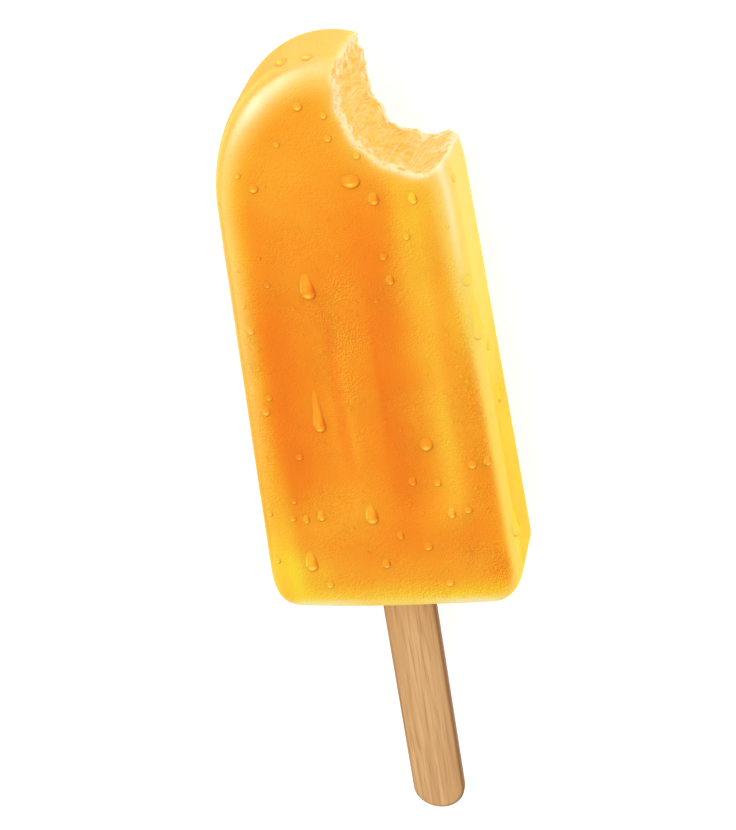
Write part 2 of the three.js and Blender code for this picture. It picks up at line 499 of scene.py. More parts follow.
def new_piece(name, points, faces, material, slot, **masks):
    """A smooth mesh object that rides on the root body. Masks are numbers for each point."""
    mesh = bpy.data.meshes.new(name)
    mesh.from_pydata(placed(points).tolist(), [], [list(face) for face in faces])
    mesh.update()
    mesh.shade_smooth()
    for mask, values in masks.items():
        layer = mesh.attributes.new(mask, "FLOAT", "POINT")
        layer.data.foreach_set("value", np.asarray(values, dtype=np.float32))
    mesh.materials.append(material)
    piece = new_object(name, mesh)
    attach(piece, "root")
    return piece


# ---- Material helpers

class Nodes:
    """A material's node tree, with short calls for the nodes that the materials here use."""

    def __init__(self, name):
        self.material = bpy.data.materials.new(name)
        self.material.use_nodes = True
        self.tree = self.material.node_tree
        self.tree.nodes.clear()

    def add(self, kind, **settings):
        node = self.tree.nodes.new(kind)
        for name, value in settings.items():
            setattr(node, name, value)
        return node

    def fill(self, socket, value):
        if isinstance(value, bpy.types.NodeSocket):
            self.tree.links.new(value, socket)
        else:
            socket.default_value = value

    def feed(self, node, **values):
        """Fills inputs of a node by name. An underscore stands for a space."""
        for name, value in values.items():
            self.fill(node.inputs[name.replace("_", " ")], value)

    def mask(self, name):
        return self.add("ShaderNodeAttribute", attribute_name=name).outputs["Fac"]

    def coordinates(self, stretch=(1, 1, 1)):
        """Object coordinates that make a pattern longer along some of their axes."""
        return self.stretched(self.add("ShaderNodeTexCoord").outputs["Object"], stretch)

    def stretched(self, vector, stretch, turn=(0, 0, 0)):
        node = self.add("ShaderNodeMapping", vector_type="TEXTURE")
        self.feed(node, Vector=vector, Scale=stretch, Rotation=turn)
        return node.outputs["Vector"]

    def vector(self, x, y):
        node = self.add("ShaderNodeCombineXYZ")
        self.feed(node, X=x, Y=y)
        return node.outputs["Vector"]

    def moved(self, vector, offset):
        node = self.add("ShaderNodeVectorMath", operation="ADD")
        self.fill(node.inputs[0], vector)
        self.fill(node.inputs[1], offset)
        return node.outputs["Vector"]

    def noise(self, vector, scale, detail=2.0, roughness=0.5):
        """Noise with this many lumps for each unit of the vector: a metre, or a mm for masks."""
        node = self.add("ShaderNodeTexNoise")
        self.feed(node, Vector=vector, Scale=scale, Detail=detail, Roughness=roughness)
        return node.outputs["Fac"]

    def ramp(self, value, *stops):
        """A colour that runs through stops of (value, colour)."""
        node = self.add("ShaderNodeValToRGB")
        self.feed(node, Fac=value)
        elements = node.color_ramp.elements
        while len(elements) < len(stops):
            elements.new(1.0)
        for element, (position, color) in zip(elements, stops):
            element.position = position
            element.color = color
        return node.outputs["Color"]

    def remap(self, value, low, high, to_low=0.0, to_high=1.0):
        node = self.add("ShaderNodeMapRange", interpolation_type="SMOOTHSTEP")
        self.feed(node, Value=value, From_Min=low, From_Max=high, To_Min=to_low, To_Max=to_high)
        return node.outputs["Result"]

    def math(self, operation, *values):
        node = self.add("ShaderNodeMath", operation=operation)
        for socket, value in zip(node.inputs, values):
            self.fill(socket, value)
        return node.outputs[0]

    def highest(self, value, *others):
        for other in others:
            value = self.math("MAXIMUM", value, other)
        return value

    def mix(self, amount, a, b, blend="MIX"):
        node = self.add("ShaderNodeMix", data_type="RGBA", blend_type=blend)
        self.feed(node, Factor=amount, A=a, B=b)
        return node.outputs["Result"]

    def bump(self, height, distance, strength=1.0, **normal):
        node = self.add("ShaderNodeBump")
        self.feed(node, Height=height, Distance=distance, Strength=strength, **normal)
        return node.outputs["Normal"]

    def finish(self, **inputs):
        """Ends the material in a principled shader with these inputs."""
        shader = self.add("ShaderNodeBsdfPrincipled")
        self.feed(shader, **inputs)
        self.feed(self.add("ShaderNodeOutputMaterial"), Surface=shader.outputs["BSDF"])
        return self.material


def rgb(red, green, blue):
    return (red, green, blue, 1.0)


# ---- Materials

DEEP_ORANGE = rgb(0.93, 0.215, 0.007)
ORANGE = rgb(0.955, 0.31, 0.013)
LIGHT_ORANGE = rgb(0.98, 0.46, 0.027)
YELLOW = rgb(1.0, 0.69, 0.036)
PALE_YELLOW = rgb(1.0, 0.65, 0.21)
# Painted highlights on the edges of the ice, and its whitish bitten rim
MILKY_HIGHLIGHT = rgb(1.0, 0.95, 0.66)
BITTEN_DEEP = rgb(0.94, 0.45, 0.055)
BITTEN = rgb(0.95, 0.56, 0.10)
BITTEN_CREST = rgb(0.98, 0.80, 0.46)
# Painted shade on the lower rims of drops
DROP_SHADE_TINT = rgb(0.74, 0.58, 0.40)
FROST = rgb(1.0, 0.76, 0.30)
PALE_FROST = rgb(1.0, 0.88, 0.52)
WOOD = rgb(0.63, 0.335, 0.125)
LIGHT_WOOD = rgb(0.75, 0.435, 0.18)
PALE_WOOD = rgb(0.80, 0.475, 0.20)
WOOD_FIBRE = rgb(0.42, 0.20, 0.062)
WOOD_SHADE = rgb(0.50, 0.25, 0.088)
# Painted shade on the stick's edges, most on its right
WOOD_EDGE_SHADE = rgb(0.26, 0.105, 0.018)
# Darker where the stick goes into the ice
WOOD_NEAR_ICE = rgb(0.42, 0.19, 0.05)
FLOOR_GREY = rgb(0.45, 0.45, 0.45)
LIGHT_FLOOR_GREY = rgb(0.48, 0.48, 0.48)
WHITE = rgb(1.0, 1.0, 1.0)

ICE_IOR = 1.31
WATER_IOR = 1.33

# Threads on the bitten surface: scale, stretch, turn, and how their strength follows a noise
THREADS = [
    (2.5, (1, 18, 1), 0.10, (0.3, 0.55, 0.15, 0.42)),
    (2.9, (1, 16, 1), 0.36, (0.4, 0.6, 0.42, 0.1)),
    (2.4, (11, 1, 1), 0.30, (0.5, 0.62, 0.0, 0.3)),
]


def skin_color(nodes, glow, pale):
    """Colour of the ice: deep orange where it glows least, through orange to pale yellow."""
    stops = (0.0, DEEP_ORANGE), (0.33, ORANGE), (0.66, LIGHT_ORANGE), (1.0, YELLOW)
    return nodes.mix(pale, nodes.ramp(glow, *stops), PALE_YELLOW)


def embossed_frost(nodes, place, scale, offset):
    """Curled frost with a lit and a shaded side, from -1 to 1: a noise less the same one moved."""
    here = nodes.noise(place, scale, detail=1)
    there = nodes.noise(nodes.moved(place, (offset, -offset, 0.0)), scale, detail=1)
    return nodes.remap(nodes.math("SUBTRACT", here, there), -0.12, 0.12, -1.0, 1.0), here


def thread_lines(nodes, across, here):
    """Thin lines, from 0 to 1, which run the long way of stretched and turned noises."""
    lines = []
    for scale, stretch, turn, strength in THREADS:
        grain = nodes.noise(nodes.stretched(across, stretch, (0, 0, turn)), scale, detail=1)
        line = nodes.remap(grain, 0.48, 0.64)
        lines.append(nodes.math("MULTIPLY", line, nodes.remap(here, *strength)))
    return nodes.highest(*lines)


def bitten_color(nodes):
    """Pale bitten ice with thin pale threads through its thickness and a crumbly white rim."""
    across = nodes.vector(nodes.mask("around"), nodes.mask("through"))
    here = nodes.noise(across, 0.5, detail=1)
    crumbly = nodes.remap(nodes.noise(nodes.coordinates(), 620, detail=3), 0.3, 0.7, -2.2, 2.2)
    depth = nodes.math("ADD", nodes.mask("depth"), crumbly)
    lip = nodes.remap(depth, 0.8, 4.2, 0.35, 0.0)
    rim = nodes.highest(nodes.remap(depth, 0.6, 2.6, 1.0, 0.0), lip)
    tone = nodes.math("ADD", nodes.mask("crest"), nodes.remap(here, 0.3, 0.7, -0.3, 0.3))
    color = nodes.mix(nodes.remap(tone, 0.0, 0.9), BITTEN_DEEP, BITTEN)
    whiteness = nodes.highest(thread_lines(nodes, across, here), nodes.math("MULTIPLY", rim, 0.9))
    whiteness = nodes.math("ADD", whiteness, nodes.remap(nodes.mask("around"), 54, 64, 0.0, 0.05))
    return nodes.mix(whiteness, color, BITTEN_CREST), whiteness


def ice_material():
    nodes = Nodes("orange_fruit_ice")
    place = nodes.coordinates()
    cloud = nodes.noise(place, 90, detail=3)
    patches = nodes.remap(nodes.noise(place, 160), 0.38, 0.60, 0.45, 1.0)
    frost, relief = embossed_frost(nodes, place, 3100, 0.00010)
    frosted = nodes.math("MULTIPLY", nodes.mask("frost"), patches)
    # The glow mask holds the ice's tone together with painted light and shade
    glow = nodes.math("ADD", nodes.mask("glow"), nodes.remap(cloud, 0.3, 0.7, -0.05, 0.05))
    strength = nodes.remap(frosted, 0.0, 1.0, 0.03, 0.34)
    glow = nodes.math("ADD", glow, nodes.math("MULTIPLY", frost, strength))
    # Painted highlights along the turning edges, and the bite's whitish rim
    skin = nodes.mix(nodes.mask("highlight_and_rim"), skin_color(nodes, glow, nodes.mask("pale")), MILKY_HIGHLIGHT)
    bitten, whiteness = bitten_color(nodes)
    color = nodes.mix(nodes.mask("broken"), skin, bitten)

    fine = nodes.bump(relief, 0.00004)
    proud = nodes.math("MULTIPLY", whiteness, nodes.mask("broken"))
    return nodes.finish(
        Base_Color=color,
        Normal=nodes.bump(proud, 0.00012, 0.7, Normal=fine),
        Roughness=nodes.remap(frosted, 0.0, 1.0, 0.26, 0.40),
        Subsurface_Weight=nodes.remap(nodes.mask("broken"), 0.0, 1.0, 0.6, 0.35),
        Subsurface_Radius=(1.0, 0.5, 0.16),
        Subsurface_Scale=0.0014,
        IOR=ICE_IOR,
        Specular_IOR_Level=0.0,
        Coat_Weight=nodes.mask("wet"),
        Coat_Roughness=0.1,
        Coat_IOR=WATER_IOR,
    )


def water_material():
    """Wet drops: they take the colour of the ice below them, with painted light at their foot, a painted
    highlight spot and painted shade on their lower rim.
    """
    nodes = Nodes("clear_water")
    place = nodes.coordinates()
    # The lens mask is painted light and shade
    lens = nodes.mask("lens")
    lit = nodes.math("MULTIPLY_ADD", nodes.math("MAXIMUM", lens, -0.3), 0.75, -0.05)
    glow = nodes.math("ADD", nodes.mask("glow"), lit)
    pale = nodes.math("MULTIPLY_ADD", nodes.mask("pale"), 0.7, nodes.remap(lens, 0.4, 1.0, 0.0, 0.45))
    color = skin_color(nodes, glow, pale)
    shade = nodes.remap(lens, -1.1, 0.0, 1.0, 0.0)
    shade = nodes.math("MULTIPLY", shade, nodes.math("MULTIPLY_ADD", nodes.mask("wet"), 1.1, 0.25))
    return nodes.finish(
        Base_Color=nodes.mix(shade, color, DROP_SHADE_TINT, "MULTIPLY"),
        Normal=nodes.bump(nodes.noise(place, 700), 0.00002, 0.5),
        Roughness=nodes.remap(nodes.noise(place, 1500), 0.3, 0.7, 0.08, 0.16),
        IOR=WATER_IOR,
        Specular_IOR_Level=0.0,
        Coat_Weight=nodes.mask("wet"),
        Coat_Roughness=0.1,
        Coat_IOR=WATER_IOR,
    )


def frost_material():
    nodes = Nodes("frost_crumbs")
    cloud = nodes.noise(nodes.coordinates(), 1200)
    return nodes.finish(
        Base_Color=nodes.mix(nodes.remap(cloud, 0.35, 0.65), FROST, PALE_FROST),
        Normal=nodes.bump(cloud, 0.00005, 0.6),
        Roughness=nodes.remap(cloud, 0.3, 0.7, 0.3, 0.5),
        IOR=ICE_IOR,
        Specular_IOR_Level=0.1,
    )


def wood_material():
    nodes = Nodes("birch_stick")
    fibres = nodes.noise(nodes.coordinates(stretch=(1, 45, 1)), 3300, roughness=0.65)
    rings = nodes.noise(nodes.coordinates(stretch=(1, 26, 1)), 900, detail=3)
    cloud = nodes.noise(nodes.coordinates(stretch=(1, 3.3, 1)), 140)
    color = nodes.mix(nodes.remap(rings, 0.36, 0.64), WOOD, LIGHT_WOOD)
    color = nodes.mix(nodes.remap(cloud, 0.3, 0.7, 0.0, 0.35), color, PALE_WOOD)
    color = nodes.mix(nodes.remap(fibres, 0.30, 0.55, 0.62, 0.0), color, WOOD_FIBRE)
    color = nodes.mix(nodes.mask("shade"), color, WOOD_SHADE)
    # Painted shade round the edges, stronger on the right
    color = nodes.mix(nodes.mask("edge"), color, WOOD_EDGE_SHADE)
    # Darker where the stick goes into the ice
    color = nodes.mix(nodes.mask("near_ice"), color, WOOD_NEAR_ICE)
    return nodes.finish(
        Base_Color=color,
        Normal=nodes.bump(fibres, 0.00005, 0.6),
        Roughness=nodes.remap(fibres, 0.3, 0.7, 0.62, 0.5),
    )


def floor_material():
    nodes = Nodes("pale_floor")
    cloud = nodes.noise(nodes.coordinates(), 6)
    color = nodes.mix(nodes.remap(cloud, 0.3, 0.7), FLOOR_GREY, LIGHT_FLOOR_GREY)
    return nodes.finish(Base_Color=color, Roughness=0.8, Emission_Color=WHITE, Emission_Strength=0.70)


# ---- Ice

# Soft streaks of painted light and shade, most of them lighter on the flutes' right walls and darker on
# their left walls: (x, half width, y from, y to, strength), in mm
LIGHT_AND_SHADE_STREAKS = [
    (-14.3, 3.0, 26, 74, -0.15),
    (-4.6, 1.1, 30, 64, -0.14),
    (-2.5, 5.0, 20, 56, 0.10),
    (4.9, 3.0, 16, 80, -0.14),
    (3.2, 4.2, 68, 84, -0.13),
    (13.6, 3.8, 20, 95, 0.42),
    (19.0, 2.0, 10, 30, -0.14),
]

# Finer streaks of painted light and shade over them, in the same form
FINE_LIGHT_AND_SHADE_STREAKS = [
    (13.9, 0.8, 34, 88, 0.04),
    (13.6, 1.8, 28, 38, 0.12),
    (16.0, 1.4, 48, 72, -0.09),
    (8.6, 1.8, 74, 88, -0.12),
    (7.5, 2.6, 30, 48, 0.07),
    (3.4, 0.5, 34, 60, -0.10),
    (-2.7, 0.8, 28, 44, 0.08),
    (-6.4, 0.8, 32, 50, 0.06),
    (-15.4, 2.4, 58, 74, 0.10),
    (-14.2, 1.8, 80, 84, -0.08),
    (-15.6, 0.8, 20, 28, -0.10),
    (-12.8, 2.2, 4, 14, 0.20),
    (9.2, 1.6, 48, 66, 0.08),
]


STREAK_START_LENGTH = 6
STREAK_END_LENGTH = 10


def towards(value, target, amount):
    return value + (target - value) * amount


def streaked(x, y, streaks):
    """What a list of streaks adds at each point."""
    total = np.zeros(len(x))
    for middle, half_width, low, high, strength in streaks:
        along = smoothstep(y, low - STREAK_START_LENGTH, low + STREAK_START_LENGTH)
        along *= fade(y, high - STREAK_END_LENGTH, high + STREAK_END_LENGTH)
        total += strength * along * hill(x, middle, half_width)
    return total


def from_bite(points):
    """Distance to the bite, in mm, and 0 inside it."""
    return np.maximum(bite_cut(points), 0)


def from_side(points):
    """How far points are from the sides and the dome of the ice, but not from its base."""
    x, y, _ = points.T
    return np.where(y < 40, half_width_at(y) - np.abs(x), inset_at(points))


def edge_line(x, y, side):
    """The thin darker line just inside the left edge, from 0 to 1."""
    line = hill(side, 1.35, np.where(side < 1.35, 0.75, 0.3))
    return line * fade(x, -2, 6) * smoothstep(y, 3, 22)


def dome_wall(y, side):
    """1 on the wall of the dome, 0 from just inside its edge."""
    return fade(side, 0.1, 0.6) * smoothstep(y, 84, 96)


def face_glow(x, y):
    """How light the face looks: least in its middle, with painted light and shade on its flutes, painted
    light on their lower ends and in its lower left corner, and painted shade at its lower right.
    """
    heart = smoothstep(y, 6, 13) * fade(y, 50, 88) * fade(np.abs(x), 15, 20)
    glow = 0.42 - 0.20 * heart + 0.08 * smoothstep(y, 75, 95)
    glow += 0.10 * hill(y, 10, 4) * smoothstep(np.abs(x), 3, 9)
    # Painted light on the lower ends of the flutes
    flute_ends = hill(y, 19, 5.5) * fade(np.abs(x), 13, 17)
    glow += flute_ends * (0.08 + 0.12 * fade(x, -3, 1) + 0.10 * smoothstep(x, 4, 9))
    glow += streaked(x, y, LIGHT_AND_SHADE_STREAKS)
    # Painted light on the outer wall of the right flute
    shoulder = 0.9 * smoothstep(x, 9, 13.5) * smoothstep(y, 38, 58)
    glow = towards(glow, 0.64 + 0.05 * smoothstep(y, 60, 80), shoulder)
    glow += streaked(x, y, FINE_LIGHT_AND_SHADE_STREAKS)
    # Painted light in the lower left corner, and painted shade at the lower right
    glow += 0.5 * fade(x, -18.5, -13.5) * hill(y, 7, 17)
    glow -= 0.25 * hill(x, 20.5, 2.5) * hill(y, 8.5, 3.5)
    return glow


def glow_at(points):
    """How light the ice looks: its face, then its edges, with painted light along the left edge, under the
    dome's edge and most on the right side, and the bite's rim.
    """
    x, y, _ = points.T
    side = from_side(points)
    base_glow = 0.93 + 0.07 * smoothstep(np.abs(x), 4, 12)
    glow = towards(face_glow(x, y), base_glow, fade(y, 0, 7))
    # Painted light along the left edge
    left_wall = fade(x, -6, 10) * fade(side, 2.7, 6.5 + smoothstep(y, 60, 80))
    left_glow = 0.54 + 0.14 * smoothstep(y, 40, 65) + 0.24 * fade(y, 10, 26)
    glow = towards(glow, left_glow, left_wall)
    # Painted light under the edge of the dome
    dome_edge = fade(side, 2.5, 7.0 + smoothstep(x, -12, -6)) * smoothstep(y, 84, 96)
    glow = towards(glow, 0.75, 0.8 * dome_edge)
    glow = towards(glow, 0.28 + 0.2 * smoothstep(x, -10, -3), 0.8 * dome_wall(y, side))
    glow = towards(glow, 0.42 + 0.15 * smoothstep(y, 60, 90), edge_line(x, y, side))
    # Painted light on the right side and its rounding, less at its foot
    right_wall = smoothstep(x, 4, 12) * fade(side, 1.0, 2.5 + 2.1 * smoothstep(y, 45, 75))
    low_wall = fade(side, 0.1, 0.35) * fade(y, 30, 75)
    glow = towards(glow, 1.0 - 0.25 * low_wall, right_wall)
    return towards(glow, 0.85, np.exp(-from_bite(points) / 1.8))


def pale_at(points):
    """How pale yellow the ice looks: painted light along its edges, most at the upper ones, with a painted
    highlight where the right edge turns; it is also paler near the bite's rim.
    """
    x, y, _ = points.T
    inset = inset_at(points)
    to_right = smoothstep(x, 4, 12)
    depth = 5.2 - 2.0 * to_right * fade(y, 45, 75) + 2.0 * smoothstep(y, 84, 98)
    amount = 0.12 + 0.52 * smoothstep(y, 12 + 20 * to_right, 80 + 5 * to_right)
    edge = fade(inset, 1.4, depth) * amount
    edge *= 1 - 0.5 * edge_line(x, y, inset)
    edge *= 1 - dome_wall(y, inset) * (0.6 - 0.3 * smoothstep(x, -10, -3))
    # Painted highlight where the right edge turns
    turn = hill(inset, 0.95, 0.7) * smoothstep(x, 10, 16) * fade(y, 45, 65)
    low_wall = fade(inset, 0.1, 0.35) * fade(y, 25, 60) * to_right
    edge = (edge + 0.36 * turn) * (1 - 0.9 * low_wall)
    return np.clip(edge + 0.3 * np.exp(-from_bite(points) / 1.2), 0, 1)


def frost_at(points):
    """How frosted the skin is: along both edges, between the flutes and low on the right.

    It is smoother low on the left."""
    x, y, _ = points.T
    face = (0.42 - 0.07 * smoothstep(y, 72, 86)) * fade(x, 20.0, 21.5)
    middle = hill(x, -2, 4) * smoothstep(y, 36, 52) * fade(y, 62, 76)
    edges = hill(np.abs(x), 20, 2.5) * fade(y, 60, 76)
    foot = hill(x, 6, 9) * fade(y, 3, 9)
    corner = np.exp(-((x - 19) ** 2 + (y - 7) ** 2) / 20)
    rough = 0.45 + 0.55 * np.maximum(smoothstep(x, -20, -12), smoothstep(y, 12, 30))
    return np.clip((face + 0.44 * middle + 0.24 * edges + 0.2 * foot + 0.6 * corner) * rough, 0, 1)


def highlight_and_rim_at(points):
    """Painted highlights: thin whitish lines where the moulded edges turn on the front, at the dome, the
    right side and the base; and the whitish rim of the bite.
    """
    x, y, z = points.T
    inset = inset_at(points)
    front = smoothstep(z, 5.5, 7.5)
    from_ridge = inset - 2.3 + smoothstep(x, -8, 2)
    ridge_width = np.where(from_ridge > 0, 1.0 + 0.5 * smoothstep(x, -14, -9), 0.65)
    dome = hill(from_ridge, 0, ridge_width) * smoothstep(y, 86, 99)
    dome *= (1 - 0.5 * smoothstep(x, -6, -1)) * fade(x, 1, 5)
    right = hill(inset, 1.4, 0.6) * smoothstep(x, 8, 14) * smoothstep(y, 58, 82)
    base = hill(y, 0.8, 0.8) * fade(np.abs(x), 17, 22)
    base *= 0.3 + 0.7 * smoothstep(np.abs(x), 3, 13)
    rim = np.exp(-from_bite(points) / 0.35)
    brightest = 0.5 + 0.2 * hill(x, -10.5, 2.5) - 0.2 * fade(x, -16, -12)
    return np.clip(front * (brightest * dome + 0.45 * right + 0.5 * base) + 0.5 * rim, 0, 1)


def ice_masks(points):
    """What the ice material reads: lightness and paleness with painted light and shade in them, painted
    highlights, and its place on the bitten surface.
    """
    body = body_field(points)
    broken = smoothstep(-bite_field(points) - body, -0.25, 0.25)
    return {
        "glow": glow_at(points),
        "pale": pale_at(points),
        "highlight_and_rim": highlight_and_rim_at(points),
        "frost": frost_at(points),
        "wet": 0.06 + 0.4 * smoothstep(inset_at(points), 2.5, 6.0) * (1 - broken),
        "broken": broken,
        "crest": 0.45 + 0.45 * bite_grain(points),
        "depth": np.clip(-body, 0, 5),
        "around": around_bite(points),
        "through": points[:, 2],
    }


def make_ice(material):
    xs = graded((-25.0, 0.52), (1.0, 0.3), (25.0,))
    ys = graded((-1.6, 0.3), (2.0, 0.55), (79.0, 0.3), (107.8,))
    zs = graded((-10.6, 0.34), (-7.0, 0.5), (7.0, 0.34), (10.6,))
    points, faces = surface_net(ice_field, xs, ys, zs)
    points = onto_surface(ice_field, points)
    piece = new_piece("lolly_ice", points, faces, material, "fruit_ice", **ice_masks(points))
    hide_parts("ice")
    return points, faces


# ---- Stick

def make_stick(material):
    half = STICK_WIDTH / 2
    xs = graded((-half - 0.3, 0.2), (-half + 1, 0.5), (half - 1, 0.2), (half + 0.3,))
    ys = graded((-STICK_EXPOSED - 0.4, 0.25), (-STICK_EXPOSED + 6, 0.9), (0, 1.5), (54, 0.6), (60.8,))
    zs = graded((-1.3, 0.2), (1.3,))
    points, faces = surface_net(stick_field, xs, ys, zs)
    points = onto_surface(stick_field, points)
    x, y, _ = points.T
    across = np.hypot(x, np.minimum(y - (half - STICK_EXPOSED), 0))
    # Painted shade round the edges of the stick, stronger on its right side
    edge = smoothstep(across, half - 0.8, half - 0.1) * (0.5 + 0.5 * smoothstep(x, -2, 2))
    masks = {"edge": edge, "near_ice": 0.6 * fade(-y, 0, 4), "shade": 0.45 * smoothstep(x, 0.5, half)}
    piece = new_piece("lolly_stick", points, faces, material, "stick_wood", **masks)
    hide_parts("stick")


# ---- Drops of water

DROP_ROWS = 26
DROP_COLUMNS = 18


def local_frames(points):
    """Outward, upward and sideways unit vectors of the ice surface at points on it."""
    out = normals_at(ice_field, points)
    up = np.array([0.0, 1.0, 0.0]) - out * out[:, 1:2]
    steep = np.linalg.norm(up, axis=1) < 0.1
    up[steep] = np.cross(out[steep], [1.0, 0.0, 0.0])
    up /= np.linalg.norm(up, axis=1, keepdims=True)
    return out, up, np.cross(up, out)


def water_masks(spots):
    """What the water takes from the ice at each spot, and its gloss, which fades on the sides."""
    facing_up = normals_at(ice_field, spots)[:, 2]
    return {"glow": glow_at(spots), "pale": pale_at(spots), "wet": 0.5 * smoothstep(facing_up, 0.6, 0.95)}


def drop_lens(side, upward, rise, width, has_tail):
    """Painted light and shade of a drop: 1 where light gathers, with a painted highlight spot, and less
    than 0 on its shaded lower rim and beside its tail.
    """
    lower = np.minimum(upward, 0)
    out = np.hypot(np.where(upward < 0, width, 1) * side, lower)
    lit = hill(side, 0, 0.5) * hill(upward, -0.3, 0.25)
    sparkle = 0.7 * hill(side, -0.15, 0.25) * hill(upward, 0.45, 0.2)
    rim = smoothstep(out, 0.72, 0.95) * smoothstep(0.25 * side - 0.9 * lower, -0.1, 0.6)
    lens = (lit + sparkle - 1.3 * rim) * (1 - rise) ** 2
    if has_tail:
        lens += 0.35 * hill(side, 0, 0.6) * smoothstep(upward, 0.3, 1.5) * (1 - rise ** 4)
        edges = np.sign(side) * smoothstep(np.abs(side), 0.4, 0.85)
        lens -= 0.7 * edges * (upward > 0) * np.sqrt(1 - rise)
    return lens


def drop_shape(half_width, half_length, height, tail=0):
    """Points of a closed drop as (across, along, height), with its tail running up, and its lens of painted
    light and shade.
    """
    top = max(half_length, tail)
    turn = np.linspace(-math.pi / 2, math.pi / 2, DROP_ROWS)[:, None]
    along = np.where(turn < 0, half_length, top) * np.sin(turn)
    rise = np.clip(along / top, 0, 1)
    width = np.sqrt(np.maximum(1 - (along / half_length) ** 2, 0))
    crown = width ** np.where(along < 0, 0.8, 1.6)
    if tail:
        narrowing = min(0.55, 0.1 * tail / half_width)
        trail = (1 - narrowing * rise) * np.sqrt(1 - rise ** 6)
        film = (1 - rise ** 3) * (0.25 + 0.75 * hill(along, 0, half_length)) - 0.12 * rise ** 8
        width = np.where(along < 0, width, trail)
        crown = np.where(along < 0, crown, film)
    spread = np.linspace(-math.pi / 2, math.pi / 2, DROP_COLUMNS)
    side = np.sin(spread)
    sunk = 0.35 * height
    lift = (height * crown + sunk) * np.cos(spread) - sunk
    across = half_width * width * side
    shape = np.stack([across, np.broadcast_to(along, across.shape), lift], axis=2)
    lens = drop_lens(side, along / half_length, rise, width, tail > 0)
    return shape.reshape(-1, 3), lens.reshape(-1)


def drop_faces():
    """The sides of a drop, and the two faces that close its ends."""
    sides = []
    for row, column in itertools.product(range(DROP_ROWS - 1), range(DROP_COLUMNS)):
        following = (column + 1) % DROP_COLUMNS
        corner = row * DROP_COLUMNS
        above = corner + DROP_COLUMNS
        sides.append((corner + column, corner + following, above + following, above + column))
    bottom = tuple(range(DROP_COLUMNS))[::-1]
    top = tuple(range((DROP_ROWS - 1) * DROP_COLUMNS, DROP_ROWS * DROP_COLUMNS))
    return np.array(sides), np.array([bottom, top])


def make_placed_drops(material):
    centres = onto_surface(ice_field, np.array([drop[:3] for drop in PLACED_DROPS]))
    out, up, side = local_frames(centres)
    shapes, lenses = zip(*(drop_shape(*drop[3:]) for drop in PLACED_DROPS))
    count = DROP_ROWS * DROP_COLUMNS
    owner = np.repeat(np.arange(len(PLACED_DROPS)), count)
    local = np.vstack(shapes)
    spots = centres[owner] + side[owner] * local[:, :1] + up[owner] * local[:, 1:2]
    spots = onto_surface(ice_field, spots)
    points = spots + normals_at(ice_field, spots) * local[:, 2:]
    sides, ends = drop_faces()
    faces = []
    for n in range(len(PLACED_DROPS)):
        faces.extend((sides + n * count).tolist())
        faces.extend((ends + n * count).tolist())
    masks = {"lens": np.concatenate(lenses), **water_masks(spots)}
    new_piece("water_drops", points, faces, material, "water", **masks)


# ---- Small beads and crumbs

def scatter(points, faces, count, weight, seed):
    """Random spots on the ice, more of them where the weight of a spot is high."""
    random = np.random.default_rng(seed)
    corners = points[faces]
    centre = corners.mean(axis=1)
    first = corners[:, 2] - corners[:, 0]
    second = corners[:, 3] - corners[:, 1]
    area = np.linalg.norm(np.cross(first, second), axis=1) / 2
    chance = area * weight(centre)
    pick = random.choice(len(faces), count, p=chance / chance.sum())
    u, v = random.uniform(0, 1, (2, count, 1))
    a, b, c, d = corners[pick].transpose(1, 0, 2)
    spots = (a * (1 - u) + b * u) * (1 - v) + (d * (1 - u) + c * u) * v
    return onto_surface(ice_field, spots), random


FLOOR_CLEARANCE = 0.9


def clear_of_floor(p):
    """1 for a spot that is high enough above the floor to hold a bead, 0 for one that isn't."""
    return (placed(p)[:, 2] > FLOOR_CLEARANCE * MM).astype(float)


def on_skin(p):
    """1 on the moulded skin, 0 on the bitten surface and inside the stick's slot."""
    outside = body_field(p) > -0.2
    return (outside & (bite_cut(p) > 0.6)).astype(float)


def bead_weight(p):
    """Beads lie in loose patches where the front is frosted, and a few on the back."""
    z = p[:, 2]
    patches = 0.2 + smoothstep(noise(p, 7.0, 41), -0.1, 0.5)
    frosted = np.maximum(frost_at(p) - 0.3, 0)
    side = frosted * smoothstep(z, 0, 3) + 0.08 * smoothstep(-z, 3, 6)
    away_from_edges = smoothstep(inset_at(p), 1.6, 3.2) * fade(p[:, 1], 80, 90)
    return on_skin(p) * clear_of_floor(p) * patches * side * away_from_edges


def crumb_weight(p):
    """Crumbs lie on the rim of the bite, and a few at the foot of the ice."""
    rim = hill(bite_cut(p), 0, 0.3) * near_face(p)
    foot = hill(p[:, 1], 0.8, 0.8) * 0.03
    return (rim + foot) * clear_of_floor(p)


def join_copies(centres, frames, sizes, shapes, pattern):
    """One mesh of many small shapes. shapes holds the points of each, for its own frame."""
    out, up, side = frames
    count = shapes.shape[1]
    scaled = shapes * sizes[:, None, :]
    points = centres[:, None, :] + scaled[:, :, :1] * side[:, None, :]
    points = points + scaled[:, :, 1:2] * up[:, None, :] + scaled[:, :, 2:] * out[:, None, :]
    faces = []
    for face in pattern:
        faces.extend((np.array(face) + count * np.arange(len(centres))[:, None]).tolist())
    return points.reshape(-1, 3), faces


BEAD_RINGS = [(0.9, -0.6), (1.0, 0.0), (0.82, 0.5), (0.45, 0.85)]


